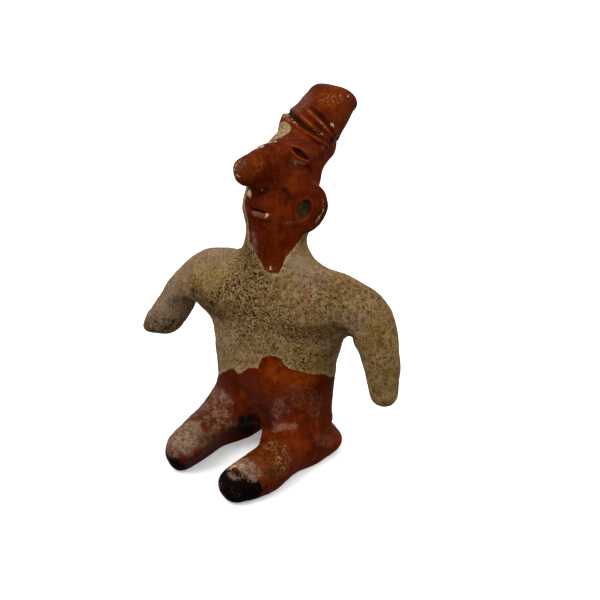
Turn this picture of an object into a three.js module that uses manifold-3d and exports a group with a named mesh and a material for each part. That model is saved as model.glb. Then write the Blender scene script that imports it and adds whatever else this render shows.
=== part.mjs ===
// A seated ceramic figure: one hand-built clay body with stub arms and straight legs, a head that
// leans back, a beak of a nose, pierced ear lobes and a tall banded cap.
// Millimetres and degrees. +X is the figure's left, -Y its front, +Z up, and it sits on z = 0.
import * as THREE from "three";
import { mergeVertices } from "three/addons/utils/BufferGeometryUtils.js";
import Module from "manifold-3d";

const wasm = await Module();
wasm.setup();

// Torso: sections from the seat up, as height, centre x, centre y, half width and half depth
const TORSO_SECTIONS = [
  [-8, -1, 1, 44, 28],
  [12, -1, 1, 44, 29],
  [32, -1, 0, 45, 31],
  [60, -1, 0, 47, 31],
  [76, 0, 0, 47.5, 31],
  [90, 1.8, 0, 49.8, 31],
  [102, 2.4, 0, 52.3, 30],
  [113, 2, 0, 54.5, 29],
  [130, 0, 0, 47, 25],
  [150, 0, 0, 41, 20],
];
const TORSO_SQUARENESS = 2.5;
const TORSO_ENDS = [-50, 143.5];
const TORSO_ROUNDING = 34;

// The shoulders are turned to the figure's left over the height of the belly
const TWIST = 14;
const TWIST_FROM = 30;
const TWIST_TO = 110;

// Arms: places along the middle and radii there, in the turned frame of the shoulders
const LEFT_ARM = [
  [30, 0, 128, 13.5],
  [58, 0, 127.5, 13.5],
  [77, -2, 115.5, 15.3],
  [86.2, -6, 90, 13.6],
  [90.8, -9, 66, 9.9],
];
const RIGHT_ARM = [
  [-30, 0, 133, 13],
  [-57, 0, 132.5, 13],
  [-77.5, -1, 114.5, 13],
  [-94, -2, 89.5, 14],
  [-107.5, 0, 80.5, 10],
];
const ARM_ROOT_BLEND = 22;

// Low swellings of the chest, also in the turned frame
const BREAST = [40, -14, 121];
const BREAST_RADII = [20, 12, 15];
const BREAST_BLEND = 16;

// Legs: places along the middle and radii there
const LEFT_LEG = [
  [25, 4, 15, 16.5],
  [33, -30, 14, 16.5],
  [38.5, -60, 13, 15.5],
  [36, -78, 12.5, 12.8],
];
const RIGHT_LEG = [
  [-37.5, 0, 22.5, 21.5],
  [-36, -24, 16.5, 18.5],
  [-30.5, -51, 13.5, 17],
  [-22.5, -70.5, 13.5, 16.3],
];
const LEG_ROOT_BLEND = 18;

// Buttocks, low at the back of the seat
const BUTTOCK = [29, 16, 7];
const BUTTOCK_RADII = [17, 15, 10];
const BUTTOCK_BLEND = 6;

// Gap between the legs, running back under the belly: places along the middle and radii there.
// It opens upwards into a hollow between the thighs.
const GAP = [
  [0, -100, -6, 15],
  [-5, -50, 3, 14],
  [-10, -26, 5, 13],
  [-12.5, -8, 6, 9.5],
  [-15, 9, 6, 9],
];
const HOLLOW = [3, -20, 18];
const HOLLOW_RADII = [13, 14, 17];
const GAP_BLEND = 8;

// Neck: places along the middle and radii there
const NECK = [
  [3, 0, 124, 25],
  [0.5, 0, 160, 22],
  [0, 4, 186, 21.5],
];
const NECK_BLEND = 17;

// Head: sections along its leaning axis, as distance from the ears, centre x, centre behind the
// axis, half width and half depth
const HEAD_LEAN = 33;
const HEAD_MIDDLE = [0, 3.5, 195];
const HEAD_SECTIONS = [
  [-25, 0, 4, 20, 20],
  [-5, 0, 3, 22, 22],
  [15, 0, 2, 23, 22],
  [32, 0, 3, 22.5, 19.5],
  [42, 0, 6.4, 21.8, 19],
  [50, -1.2, 7, 22.5, 19],
  [58, -1.4, 9, 21.8, 19],
  [72, 0, 13.5, 18.7, 17.5],
  [88, 1, 17, 17.5, 16],
];
const HEAD_SQUARENESS = 2.2;
const HEAD_ENDS = [-20, 87.8];
const HEAD_ROUNDING = 9;
const HEAD_BLEND = 12;

// Nose: sections forward from inside the head
const NOSE_DROP = 1.5;
const NOSE_ROOT = [0, 8, 216.5];
const NOSE_SECTIONS = [
  [0, 2.5, 0, 11.5, 15.5],
  [16, 0, 0, 12.5, 15],
  [30, 0, 0, 9.5, 12],
  [44, 0, 0, 7, 8.5],
];
const NOSE_ENDS = [-10, 45];
const NOSE_ROUNDING = 8;
const NOSE_SQUARENESS = 2;
const NOSE_BLEND = 12;

// Ear lobes: discs that flare out behind, each with a blind hole and a crescent groove round it
const EAR = [23.4, 10.5, 187.5];
const EAR_RADII = [5, 15.5, 15.8];
const EAR_YAW = 12;
const EAR_BLEND = 6;
const EAR_HOLE = [28.4, -1, 188.5];
const EAR_HOLE_YAW = -20;
const EAR_HOLE_RADIUS = 6;
const EAR_HOLE_DEPTH = 6;
const EAR_HOLE_SIDES = 16;
const CRESCENT_RADIUS = 17;
const CRESCENT_HALF_ARC = 42;
const CRESCENT_GROOVE = 1.4;
const CRESCENT_BACK = 3;
const CRESCENT_STEPS = 8;

// Eyes: lens-shaped slits cut square to the face, drooping outwards, the left one on a low mound
const EYE = [16.8, 6.6, 224.2];
const EYE_OUTWARD = [0.74, -0.47, 0.48];
const EYE_ALONG = [0.62, 0.5, -0.53];
const EYE_LENGTH = 16;
const EYE_HEIGHT = 6;
const EYE_DEPTH = 3;
const EYE_MOUND_RADII = [10, 6, 3];
const EYE_MOUND_BLEND = 5;

// Mouth: one slit a little to the figure's left
const MOUTH = [3.5, -20.5, 187.6];
const MOUTH_OUTWARD = [0.12, -0.99, 0];
const MOUTH_ALONG = [0.99, 0.12, -0.1];
const MOUTH_LENGTH = 18;
const MOUTH_HEIGHT = 2.6;
const MOUTH_DEPTH = 3;

// Cap bands: grooves round the cap, as distance along the head's axis at the front, groove
// radius and how far round each side it runs. They drop to the figure's left and to the back.
const BANDS = [
  [64, 1.3, 120],
  [57, 1.5, 150],
  [50.8, 2.4, 168],
  [45.5, 1.2, 120],
];
const BAND_FRONT = -12;
const BAND_LEFT_DROP = 0.26;
const BAND_BACK_DROP = 0.12;
const BAND_STEPS = 20;

// Groove tools: sides of their section, and how far their middle runs over the surface and lifts
// out of it at the ends, in radii
const GROOVE_SIDES = 6;
const GROOVE_LIFT = 0.2;
const END_LIFT = 1.5;

// Clay left below the floor, and the block that cuts the figure flat there
const SPARE_BELOW = 6;
const FLOOR_WIDTH = 400;
const FLOOR_THICKNESS = 100;

// Depth given to grid points that are filled where the skin would pinch
const PINCH_FILL = 0.05;

// Vertices settle onto the surface as if it were never flatter in the field than this slope squared
const LEAST_SLOPE = 0.04;

// Edges shorter than this are closed up after cutting
const SHORT_EDGE = 0.02;

// The skin's grid: its extent, and the size of its cells on the body and on the head
const GRID_X = [-140, 130];
const GRID_Y = [-104, 112];
const GRID_Z = [-20, 290];
const CELL = 7.5;
const DEPTH_CELL = 6;
const HEAD_CELL = 4.5;
const HEAD_FROM = 165;
const HEAD_HALF_WIDTH = 30;

// Straight lengths that a limb is laid out in, between two of its stations
const ROPE_STEPS = 3;

const rad = THREE.MathUtils.degToRad;
const UP = new THREE.Vector3(0, 0, 1);

// Signed distance to a tapering rod with round ends, negative inside
function roundCone(a, b, ra, rb) {
  const ba = b.clone().sub(a);
  const l2 = ba.lengthSq();
  const rr = ra - rb;
  const a2 = l2 - rr * rr;
  const il2 = 1 / l2;
  const pa = new THREE.Vector3();
  const cross = new THREE.Vector3();
  return (p) => {
    pa.subVectors(p, a);
    const y = pa.dot(ba);
    const z = y - l2;
    const x2 = cross.copy(pa).multiplyScalar(l2).addScaledVector(ba, -y).lengthSq();
    const y2 = y * y * l2;
    const z2 = z * z * l2;
    const k = Math.sign(rr) * rr * rr * x2;
    if (Math.sign(z) * a2 * z2 > k) return Math.sqrt(x2 + z2) * il2 - rb;
    if (Math.sign(y) * a2 * y2 < k) return Math.sqrt(x2 + y2) * il2 - ra;
    return (Math.sqrt(x2 * a2 * il2) + y * rr) * il2 - ra;
  };
}

// Signed distance to an ellipsoid, near enough for blending
function ellipsoid(centre, radii) {
  const [a, b, c] = radii;
  return (p) => {
    const x = p.x - centre.x;
    const y = p.y - centre.y;
    const z = p.z - centre.z;
    const k0 = Math.hypot(x / a, y / b, z / c);
    const k1 = Math.hypot(x / (a * a), y / (b * b), z / (c * c));
    return k1 > 0 ? (k0 * (k0 - 1)) / k1 : -Math.min(a, b, c);
  };
}

// Two distances joined, with a fillet of about width k
function smoothUnion(d1, d2, k) {
  const h = Math.max(k - Math.abs(d1 - d2), 0) / k;
  return Math.min(d1, d2) - (h * h * k) / 4;
}

// One distance kept only where the other is also inside, with an edge rounded by about k
function smoothCut(d1, d2, k) {
  return -smoothUnion(-d1, -d2, k);
}

// A rolled limb of clay along smooth stations of place and radius
function rope(stations) {
  const numbered = stations.map((station, i) => [i, ...station]);
  const parts = [];
  const steps = ROPE_STEPS * (stations.length - 1);
  for (let i = 0; i < steps; i++) {
    const [ax, ay, az, ra] = sampleSections(numbered, i / ROPE_STEPS);
    const [bx, by, bz, rb] = sampleSections(numbered, (i + 1) / ROPE_STEPS);
    parts.push(roundCone(new THREE.Vector3(ax, ay, az), new THREE.Vector3(bx, by, bz), ra, rb));
  }
  return (p) => Math.min(...parts.map((part) => part(p)));
}

// Smooth value of each column of a table of sections at a height
function sampleSections(sections, h) {
  const last = sections.length - 1;
  if (h <= sections[0][0]) return sections[0].slice(1);
  if (h >= sections[last][0]) return sections[last].slice(1);
  let i = 0;
  while (sections[i + 1][0] < h) i++;
  const p0 = sections[Math.max(i - 1, 0)];
  const p1 = sections[i];
  const p2 = sections[i + 1];
  const p3 = sections[Math.min(i + 2, last)];
  const span = p2[0] - p1[0];
  const t = (h - p1[0]) / span;
  const out = [];
  for (let c = 1; c < p1.length; c++) {
    const m1 = ((p2[c] - p0[c]) / Math.max(p2[0] - p0[0], 1e-6)) * span;
    const m2 = ((p3[c] - p1[c]) / Math.max(p3[0] - p1[0], 1e-6)) * span;
    const t2 = t * t;
    const t3 = t2 * t;
    out.push(
      (2 * t3 - 3 * t2 + 1) * p1[c] + (t3 - 2 * t2 + t) * m1 +
      (3 * t2 - 2 * t3) * p2[c] + (t3 - t2) * m2
    );
  }
  return out;
}

// Distance to a closed oval of the given half width and half depth, along the ray from its middle
function oval(x, y, w, d, n) {
  const m = Math.pow(Math.pow(Math.abs(x / w), n) + Math.pow(Math.abs(y / d), n), 1 / n);
  const r = Math.hypot(x, y);
  return m > 1e-6 ? r * (1 - 1 / m) : -Math.min(w, d);
}

// A tapering body around an axis, between two rounded ends, in a frame whose z is the axis
function sleeve(frame, sections, squareness, ends, rounding) {
  const q = new THREE.Vector3();
  const toLocal = frame.clone().invert();
  return (p) => {
    q.copy(p).applyMatrix4(toLocal);
    const [cx, cy, w, d] = sampleSections(sections, q.z);
    const side = oval(q.x - cx, q.y - cy, w, d, squareness);
    return smoothCut(side, Math.max(ends[0] - q.z, q.z - ends[1]), rounding);
  };
}

// A frame at a place, turned about the x axis by an angle in degrees
function leaning(place, angle) {
  const turn = new THREE.Matrix4().makeRotationX(rad(angle));
  return turn.setPosition(...place);
}

// A shape moved into a frame
function placed(shape, frame) {
  const q = new THREE.Vector3();
  const toLocal = frame.clone().invert();
  return (p) => shape(q.copy(p).applyMatrix4(toLocal));
}

// A frame on the face whose z looks out of it and whose x runs along a feature, for one side
function facing(place, outward, along, side = 1) {
  const z = new THREE.Vector3(...outward).normalize();
  const x = new THREE.Vector3(...along);
  x.addScaledVector(z, -x.dot(z)).normalize();
  const at = new THREE.Vector3(...place);
  for (const v of [x, z, at]) v.x *= side;
  const y = new THREE.Vector3().crossVectors(z, x);
  return new THREE.Matrix4().makeBasis(x, y, z).setPosition(at);
}

// The trunk, twisted a little about the upright axis
function torso() {
  const upright = leaning([0, 0, 0], 0);
  const straight = sleeve(upright, TORSO_SECTIONS, TORSO_SQUARENESS, TORSO_ENDS, TORSO_ROUNDING);
  const q = new THREE.Vector3();
  return (p) => {
    const turn = rad(TWIST) * THREE.MathUtils.smoothstep(p.z, TWIST_FROM, TWIST_TO);
    return straight(q.copy(p).applyAxisAngle(UP, -turn));
  };
}

// Turns a shape with the shoulders
function turned(shape) {
  const q = new THREE.Vector3();
  return (p) => shape(q.copy(p).applyAxisAngle(UP, -rad(TWIST)));
}

function breast(side) {
  return ellipsoid(new THREE.Vector3(side * BREAST[0], BREAST[1], BREAST[2]), BREAST_RADII);
}

function head() {
  const frame = leaning(HEAD_MIDDLE, -HEAD_LEAN);
  return sleeve(frame, HEAD_SECTIONS, HEAD_SQUARENESS, HEAD_ENDS, HEAD_ROUNDING);
}

function nose() {
  const frame = leaning(NOSE_ROOT, 90 + NOSE_DROP);
  return sleeve(frame, NOSE_SECTIONS, NOSE_SQUARENESS, NOSE_ENDS, NOSE_ROUNDING);
}

function ear(side) {
  const [x, y, z] = EAR;
  const disc = ellipsoid(new THREE.Vector3(), EAR_RADII);
  const frame = new THREE.Matrix4().makeRotationZ(rad(-side * EAR_YAW));
  frame.setPosition(side * x, y, z);
  return placed(disc, frame);
}

function eyeMound() {
  const mound = ellipsoid(new THREE.Vector3(), EYE_MOUND_RADII);
  return placed(mound, facing(EYE, EYE_OUTWARD, EYE_ALONG));
}

function buttock(side) {
  return ellipsoid(new THREE.Vector3(side * BUTTOCK[0], BUTTOCK[1], BUTTOCK[2]), BUTTOCK_RADII);
}

// The lumps added to the torso, each with the width of its blend
const LUMPS = [
  [rope(LEFT_LEG), LEG_ROOT_BLEND],
  [rope(RIGHT_LEG), LEG_ROOT_BLEND],
  [buttock(1), BUTTOCK_BLEND],
  [buttock(-1), BUTTOCK_BLEND],
  [turned(breast(1)), BREAST_BLEND],
  [turned(breast(-1)), BREAST_BLEND],
  [turned(rope(LEFT_ARM)), ARM_ROOT_BLEND],
  [turned(rope(RIGHT_ARM)), ARM_ROOT_BLEND],
  [rope(NECK), NECK_BLEND],
  [head(), HEAD_BLEND],
  [nose(), NOSE_BLEND],
  [ear(1), EAR_BLEND],
  [ear(-1), EAR_BLEND],
  [eyeMound(), EYE_MOUND_BLEND],
];

const trunk = torso();
const gap = rope(GAP);
const hollow = ellipsoid(new THREE.Vector3(...HOLLOW), HOLLOW_RADII);

// The whole body of clay before carving
function clay(p) {
  let d = trunk(p);
  for (const [shape, blend] of LUMPS) d = smoothUnion(d, shape(p), blend);
  d = smoothCut(d, -smoothUnion(gap(p), hollow(p), GAP_BLEND), GAP_BLEND);
  return Math.max(d, -SPARE_BELOW - p.z);
}

// Direction of steepest rise of a field at a point
function gradient(field, p) {
  const step = 0.05;
  const q = p.clone();
  const g = new THREE.Vector3();
  for (const axis of ["x", "y", "z"]) {
    q[axis] = p[axis] + step;
    const hi = field(q);
    q[axis] = p[axis] - step;
    g[axis] = (hi - field(q)) / (2 * step);
    q[axis] = p[axis];
  }
  return g;
}

// Grid lines over an extent whose spacing at each place comes from a function
function gridLines([lo, hi], spacing) {
  const lines = [lo];
  while (lines[lines.length - 1] < hi) {
    const at = lines[lines.length - 1];
    lines.push(at + spacing(at));
  }
  return lines;
}

// Fills each grid face whose corners alternate between inside and outside, where the skin would
// pinch, by bringing its shallowest outside corner just inside
function fillPinches(values, nx, ny, nz) {
  const strides = [1, nx, nx * ny];
  let filled = 0;
  for (let n = 0; n + strides[0] + strides[1] + strides[2] < values.length; n++) {
    for (const [a, b] of [[0, 1], [1, 2], [0, 2]]) {
      const ring = [n, n + strides[a], n + strides[a] + strides[b], n + strides[b]];
      const [p, q, r, s] = ring.map((m) => values[m] < 0);
      if (p !== r || q !== s || p === q) continue;
      const outside = ring.filter((m) => values[m] >= 0);
      const shallow = values[outside[0]] < values[outside[1]] ? 0 : 1;
      values[outside[shallow]] = -PINCH_FILL;
      filled++;
    }
  }
  return filled;
}

// One vertex in each grid cell that the surface passes through, settled onto the surface, and a
// quad across each grid edge that changes sign
function skin(field, xs, ys, zs) {
  const nx = xs.length;
  const ny = ys.length;
  const nz = zs.length;
  const node = (i, j, k) => i + nx * (j + ny * k);
  const values = new Float64Array(nx * ny * nz);
  const p = new THREE.Vector3();
  for (let k = 0; k < nz; k++) {
    for (let j = 0; j < ny; j++) {
      for (let i = 0; i < nx; i++) {
        values[node(i, j, k)] = field(p.set(xs[i], ys[j], zs[k]));
      }
    }
  }
  while (fillPinches(values, nx, ny, nz) > 0);
  const corners = [];
  for (let c = 0; c < 8; c++) corners.push([c & 1, (c >> 1) & 1, (c >> 2) & 1]);
  const cellVertex = new Map();
  const positions = [];
  for (let k = 0; k < nz - 1; k++) {
    for (let j = 0; j < ny - 1; j++) {
      for (let i = 0; i < nx - 1; i++) {
        const v = corners.map(([a, b, c]) => values[node(i + a, j + b, k + c)]);
        const inside = v.filter((d) => d < 0).length;
        if (inside === 0 || inside === 8) continue;
        const sum = new THREE.Vector3();
        let crossings = 0;
        for (let a = 0; a < 8; a++) {
          for (const bit of [1, 2, 4]) {
            const b = a | bit;
            if (b === a || v[a] < 0 === v[b] < 0) continue;
            const t = v[a] / (v[a] - v[b]);
            const [ai, aj, ak] = corners[a];
            const [bi, bj, bk] = corners[b];
            sum.x += THREE.MathUtils.lerp(xs[i + ai], xs[i + bi], t);
            sum.y += THREE.MathUtils.lerp(ys[j + aj], ys[j + bj], t);
            sum.z += THREE.MathUtils.lerp(zs[k + ak], zs[k + bk], t);
            crossings++;
          }
        }
        sum.multiplyScalar(1 / crossings);
        const reach = 0.5 * Math.min(xs[i + 1] - xs[i], ys[j + 1] - ys[j], zs[k + 1] - zs[k]);
        for (let step = 0; step < 3; step++) {
          const g = gradient(field, sum);
          const move = -field(sum) / Math.max(g.lengthSq(), LEAST_SLOPE);
          sum.addScaledVector(g, THREE.MathUtils.clamp(move, -reach, reach));
        }
        cellVertex.set(node(i, j, k), positions.length / 3);
        positions.push(sum.x, sum.y, sum.z);
      }
    }
  }
  const index = [];
  const at = (n) => new THREE.Vector3().fromArray(positions, n * 3);
  const quad = (a, b, c, d, flip) => {
    const ring = flip ? [d, c, b, a] : [a, b, c, d];
    const [e, f, g, h] = ring;
    const shortEG = at(e).distanceToSquared(at(g)) <= at(f).distanceToSquared(at(h));
    if (shortEG) index.push(e, f, g, e, g, h);
    else index.push(f, g, h, f, h, e);
  };
  for (let k = 1; k < nz - 1; k++) {
    for (let j = 1; j < ny - 1; j++) {
      for (let i = 1; i < nx - 1; i++) {
        const here = values[node(i, j, k)] < 0;
        const cell = (a, b, c) => cellVertex.get(node(i - a, j - b, k - c));
        if (here !== values[node(i + 1, j, k)] < 0) {
          quad(cell(0, 1, 1), cell(0, 0, 1), cell(0, 0, 0), cell(0, 1, 0), !here);
        }
        if (here !== values[node(i, j + 1, k)] < 0) {
          quad(cell(1, 0, 1), cell(1, 0, 0), cell(0, 0, 0), cell(0, 0, 1), !here);
        }
        if (here !== values[node(i, j, k + 1)] < 0) {
          quad(cell(1, 1, 0), cell(0, 1, 0), cell(0, 0, 0), cell(1, 0, 0), !here);
        }
      }
    }
  }
  const geometry = new THREE.BufferGeometry();
  geometry.setAttribute("position", new THREE.Float32BufferAttribute(positions, 3));
  geometry.setIndex(index);
  return geometry;
}

// A closed mesh ready for cutting
function toSolid(geometry) {
  const bare = geometry.clone();
  bare.deleteAttribute("normal");
  bare.deleteAttribute("uv");
  const merged = mergeVertices(bare, 1e-4);
  const mesh = new wasm.Mesh({
    numProp: 3,
    vertProperties: new Float32Array(merged.attributes.position.array),
    triVerts: new Uint32Array(merged.index.array),
  });
  return new wasm.Manifold(mesh);
}

// Rounds the places of vertices, so that the short edges a cut leaves close up
function closeShortEdges(geometry, step) {
  const places = geometry.attributes.position.array;
  for (let i = 0; i < places.length; i++) places[i] = Math.round(places[i] / step) * step;
  geometry.deleteAttribute("normal");
  const merged = mergeVertices(geometry, step / 4);
  const kept = [];
  const index = merged.index.array;
  for (let t = 0; t < index.length; t += 3) {
    const [a, b, c] = index.slice(t, t + 3);
    if (a !== b && b !== c && c !== a) kept.push(a, b, c);
  }
  merged.setIndex(kept);
  return merged;
}

// A cut body as a mesh again
function toGeometry(solid) {
  const mesh = solid.getMesh();
  const geometry = new THREE.BufferGeometry();
  geometry.setAttribute("position", new THREE.BufferAttribute(mesh.vertProperties, 3));
  geometry.setIndex(new THREE.BufferAttribute(mesh.triVerts, 1));
  geometry.computeVertexNormals();
  return geometry;
}

// A lens-shaped slit cut to a depth below a place on the face
function slit(length, height, depth, frame) {
  const half = length / 2;
  const shape = new THREE.Shape();
  shape.moveTo(-half, 0);
  shape.quadraticCurveTo(0, -height, half, 0);
  shape.quadraticCurveTo(0, height, -half, 0);
  const options = { depth: 3 * depth, bevelEnabled: false, curveSegments: 6 };
  const geometry = new THREE.ExtrudeGeometry(shape, options);
  geometry.translate(0, 0, -depth);
  return geometry.applyMatrix4(frame);
}

// The slit of one eye, from the skin there inwards
function eyeSlit(side) {
  const frame = facing(EYE, EYE_OUTWARD, EYE_ALONG, side);
  const place = settle(new THREE.Vector3().setFromMatrixPosition(frame), 0);
  return slit(EYE_LENGTH, EYE_HEIGHT, EYE_DEPTH, frame.setPosition(place));
}

// A round groove tool along points in space
function grooveTool(points, radius) {
  const shape = new THREE.Shape();
  for (let i = 0; i < GROOVE_SIDES; i++) {
    const a = (2 * Math.PI * (i + 0.5)) / GROOVE_SIDES;
    if (i === 0) shape.moveTo(radius * Math.cos(a), radius * Math.sin(a));
    else shape.lineTo(radius * Math.cos(a), radius * Math.sin(a));
  }
  const path = new THREE.CatmullRomCurve3(points);
  return new THREE.ExtrudeGeometry(shape, { steps: points.length - 1, extrudePath: path });
}

// The place where a point settles on the clay surface, lifted by an amount
function settle(point, lift) {
  const p = point.clone();
  for (let step = 0; step < 6; step++) {
    const g = gradient(clay, p);
    p.addScaledVector(g, -clay(p) / Math.max(g.lengthSq(), LEAST_SLOPE));
  }
  return p.addScaledVector(gradient(clay, p).normalize(), lift);
}

// Height of a groove tool's middle over the surface, in its radii: its ends climb out of the clay
function grooveLift(isEnd) {
  return isEnd ? END_LIFT : GROOVE_LIFT;
}

// A band groove round the cap
function bandTool([front, radius, reach]) {
  const frame = leaning(HEAD_MIDDLE, -HEAD_LEAN);
  const points = [];
  for (let i = 0; i <= BAND_STEPS; i++) {
    const turn = THREE.MathUtils.lerp(-reach, reach, i / BAND_STEPS);
    const [, cy, w, d] = sampleSections(HEAD_SECTIONS, front);
    const x = w * Math.sin(rad(turn));
    const y = cy - d * Math.cos(rad(turn));
    const z = front - BAND_LEFT_DROP * x - BAND_BACK_DROP * (y - BAND_FRONT);
    const place = new THREE.Vector3(x, y, z).applyMatrix4(frame);
    const isEnd = i === 0 || i === BAND_STEPS;
    points.push(settle(place, grooveLift(isEnd) * radius));
  }
  return grooveTool(points, radius);
}

// The tool for one ear's hole
function earHole(side) {
  const length = 2 * EAR_HOLE_DEPTH;
  const geometry = new THREE.CylinderGeometry(EAR_HOLE_RADIUS, EAR_HOLE_RADIUS, length, EAR_HOLE_SIDES);
  geometry.rotateX(Math.PI / 2);
  const turn = rad(EAR_HOLE_YAW);
  const outward = [Math.cos(turn), Math.sin(turn), 0];
  return geometry.applyMatrix4(facing(EAR_HOLE, outward, [0, 0, 1], side));
}

// The groove round the back rim of one ear
function crescentTool(side) {
  const [, y, z] = EAR_HOLE;
  const points = [];
  for (let i = 0; i <= CRESCENT_STEPS; i++) {
    const share = i / CRESCENT_STEPS;
    const turn = rad(THREE.MathUtils.lerp(-CRESCENT_HALF_ARC, CRESCENT_HALF_ARC, share));
    const isEnd = i === 0 || i === CRESCENT_STEPS;
    const place = new THREE.Vector3(
      side * (EAR[0] + EAR_RADII[0]),
      y + CRESCENT_BACK + CRESCENT_RADIUS * Math.cos(turn),
      z + CRESCENT_RADIUS * Math.sin(turn)
    );
    points.push(settle(place, grooveLift(isEnd) * CRESCENT_GROOVE));
  }
  return grooveTool(points, CRESCENT_GROOVE);
}

const xs = gridLines(GRID_X, (x) => (Math.abs(x) < HEAD_HALF_WIDTH ? HEAD_CELL : CELL));
const ys = gridLines(GRID_Y, () => DEPTH_CELL);
const zs = gridLines(GRID_Z, (z) => (z > HEAD_FROM ? HEAD_CELL : CELL));
const body = toSolid(skin(clay, xs, ys, zs));

const floor = new THREE.BoxGeometry(FLOOR_WIDTH, FLOOR_WIDTH, FLOOR_THICKNESS);
floor.translate(0, 0, -FLOOR_THICKNESS / 2);
const tools = [floor];
tools.push(slit(MOUTH_LENGTH, MOUTH_HEIGHT, MOUTH_DEPTH, facing(MOUTH, MOUTH_OUTWARD, MOUTH_ALONG)));
for (const side of [1, -1]) {
  tools.push(eyeSlit(side));
  tools.push(earHole(side));
  tools.push(crescentTool(side));
}
for (const band of BANDS) tools.push(bandTool(band));
let carved = body;
for (const tool of tools) carved = carved.subtract(toSolid(tool));
const figureGeometry = closeShortEdges(toGeometry(carved), SHORT_EDGE);
figureGeometry.computeVertexNormals();

// The model's origin is under the middle of the figure's bounding box
const middle = new THREE.Box3().setFromBufferAttribute(figureGeometry.attributes.position);
const centre = middle.getCenter(new THREE.Vector3());
figureGeometry.translate(-centre.x, -centre.y, 0);

const clayMaterial = new THREE.MeshStandardMaterial({
  color: 0x9a7a58,
  roughness: 0.75,
  metalness: 0,
});
const figure = new THREE.Mesh(figureGeometry, clayMaterial);
figure.name = "figure";

const group = new THREE.Group();
group.add(figure);
export default group;
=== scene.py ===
import math

import bmesh
import bpy
import numpy as np
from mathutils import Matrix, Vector


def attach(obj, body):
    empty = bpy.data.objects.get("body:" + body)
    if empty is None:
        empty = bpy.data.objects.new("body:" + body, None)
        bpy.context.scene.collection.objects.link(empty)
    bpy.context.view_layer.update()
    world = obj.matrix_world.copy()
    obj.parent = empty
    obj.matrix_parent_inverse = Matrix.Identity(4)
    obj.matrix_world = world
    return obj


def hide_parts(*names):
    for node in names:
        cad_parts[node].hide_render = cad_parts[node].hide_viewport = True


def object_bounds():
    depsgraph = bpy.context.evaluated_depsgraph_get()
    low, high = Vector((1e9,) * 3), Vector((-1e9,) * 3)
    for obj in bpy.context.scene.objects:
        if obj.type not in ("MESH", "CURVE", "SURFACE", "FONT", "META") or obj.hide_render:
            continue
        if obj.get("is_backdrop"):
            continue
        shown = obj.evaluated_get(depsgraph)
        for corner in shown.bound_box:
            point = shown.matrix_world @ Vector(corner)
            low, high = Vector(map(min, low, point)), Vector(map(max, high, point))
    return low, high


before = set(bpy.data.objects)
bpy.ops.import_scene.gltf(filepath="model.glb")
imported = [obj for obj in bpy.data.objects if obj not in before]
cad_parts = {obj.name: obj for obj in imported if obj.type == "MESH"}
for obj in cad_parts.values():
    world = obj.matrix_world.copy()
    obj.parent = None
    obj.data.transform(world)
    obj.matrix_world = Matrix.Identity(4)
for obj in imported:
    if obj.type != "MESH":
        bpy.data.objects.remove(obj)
cad_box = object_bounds()

# A seated clay figure, painted with red-brown slip. Sculpting is in millimetres, with +X the
# figure's left, -Y its front and x = y = 0 at the middle of its trunk.

# The frame's origin in the sculpting frame
MIDDLE = np.array([-6.730, -7.590, 0.0])

# Camera of the photograph's view
VIEW_AZIMUTH = 42
VIEW_ELEVATION = 20
VIEW_DISTANCE = 700
VIEW_TARGET = [29.4, -6.4, 125]
LENS = 60
SENSOR = 36

# ---------------------------------------------------------------- forms of the solid
TORSO_SECTIONS = [
    [-8, -1, 1, 44, 28],
    [12, -1, 1, 44, 29],
    [32, -1, 0, 45, 31],
    [60, -1, 0, 47, 31],
    [76, 0, 0, 47.5, 31],
    [90, 1.8, 0, 49.8, 31],
    [102, 2.4, 0, 52.3, 30],
    [113, 2, 0, 54.5, 29],
    [130, 0, 0, 47, 25],
    [150, 0, 0, 41, 20],
]
TWIST = 14
TWIST_HEIGHTS = [30, 110]
LEFT_ARM = [
    [30, 0, 128, 13.5],
    [58, 0, 127.5, 13.5],
    [77, -2, 115.5, 15.3],
    [86.2, -6, 90, 13.6],
    [90.8, -9, 66, 9.9],
]
RIGHT_ARM = [
    [-30, 0, 133, 13],
    [-57, 0, 132.5, 13],
    [-77.5, -1, 114.5, 13],
    [-94, -2, 89.5, 14],
    [-107.5, 0, 80.5, 10],
]
BREAST = [40, -14, 121]
BREAST_RADII = [20, 12, 15]
LEFT_LEG = [
    [25, 4, 15, 16.5],
    [33, -30, 14, 16.5],
    [38.5, -60, 13, 15.5],
    [36, -78, 12.5, 12.8],
]
RIGHT_LEG = [
    [-37.5, 0, 22.5, 21.5],
    [-36, -24, 16.5, 18.5],
    [-30.5, -51, 13.5, 17],
    [-22.5, -70.5, 13.5, 16.3],
]
BUTTOCK = [29, 16, 7]
BUTTOCK_RADII = [17, 15, 10]
HOLLOW = [3, -20, 18]
HOLLOW_RADII = [13, 14, 17]
GAP = [
    [0, -100, -6, 15],
    [-5, -50, 3, 14],
    [-10, -26, 5, 13],
    [-12.5, -8, 6, 9.5],
    [-15, 9, 6, 9],
]
NECK = [
    [3, 0, 124, 25],
    [0.5, 0, 160, 22],
    [0, 4, 186, 21.5],
]
HEAD_LEAN = 33
HEAD_MIDDLE = [0, 3.5, 195]
HEAD_SECTIONS = [
    [-25, 0, 4, 20, 20],
    [-5, 0, 3, 22, 22],
    [15, 0, 2, 23, 22],
    [32, 0, 3, 22.5, 19.5],
    [42, 0, 6.4, 21.8, 19],
    [50, -1.2, 7, 22.5, 19],
    [58, -1.4, 9, 21.8, 19],
    [72, 0, 13.5, 18.7, 17.5],
    [88, 1, 17, 17.5, 16],
]
NOSE_ROOT = [0, 8, 216.5]
NOSE_DROP = 1.5
NOSE_SECTIONS = [
    [0, 2.5, 0, 11.5, 15.5],
    [16, 0, 0, 12.5, 15],
    [30, 0, 0, 9.5, 12],
    [44, 0, 0, 7, 8.5],
]
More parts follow.
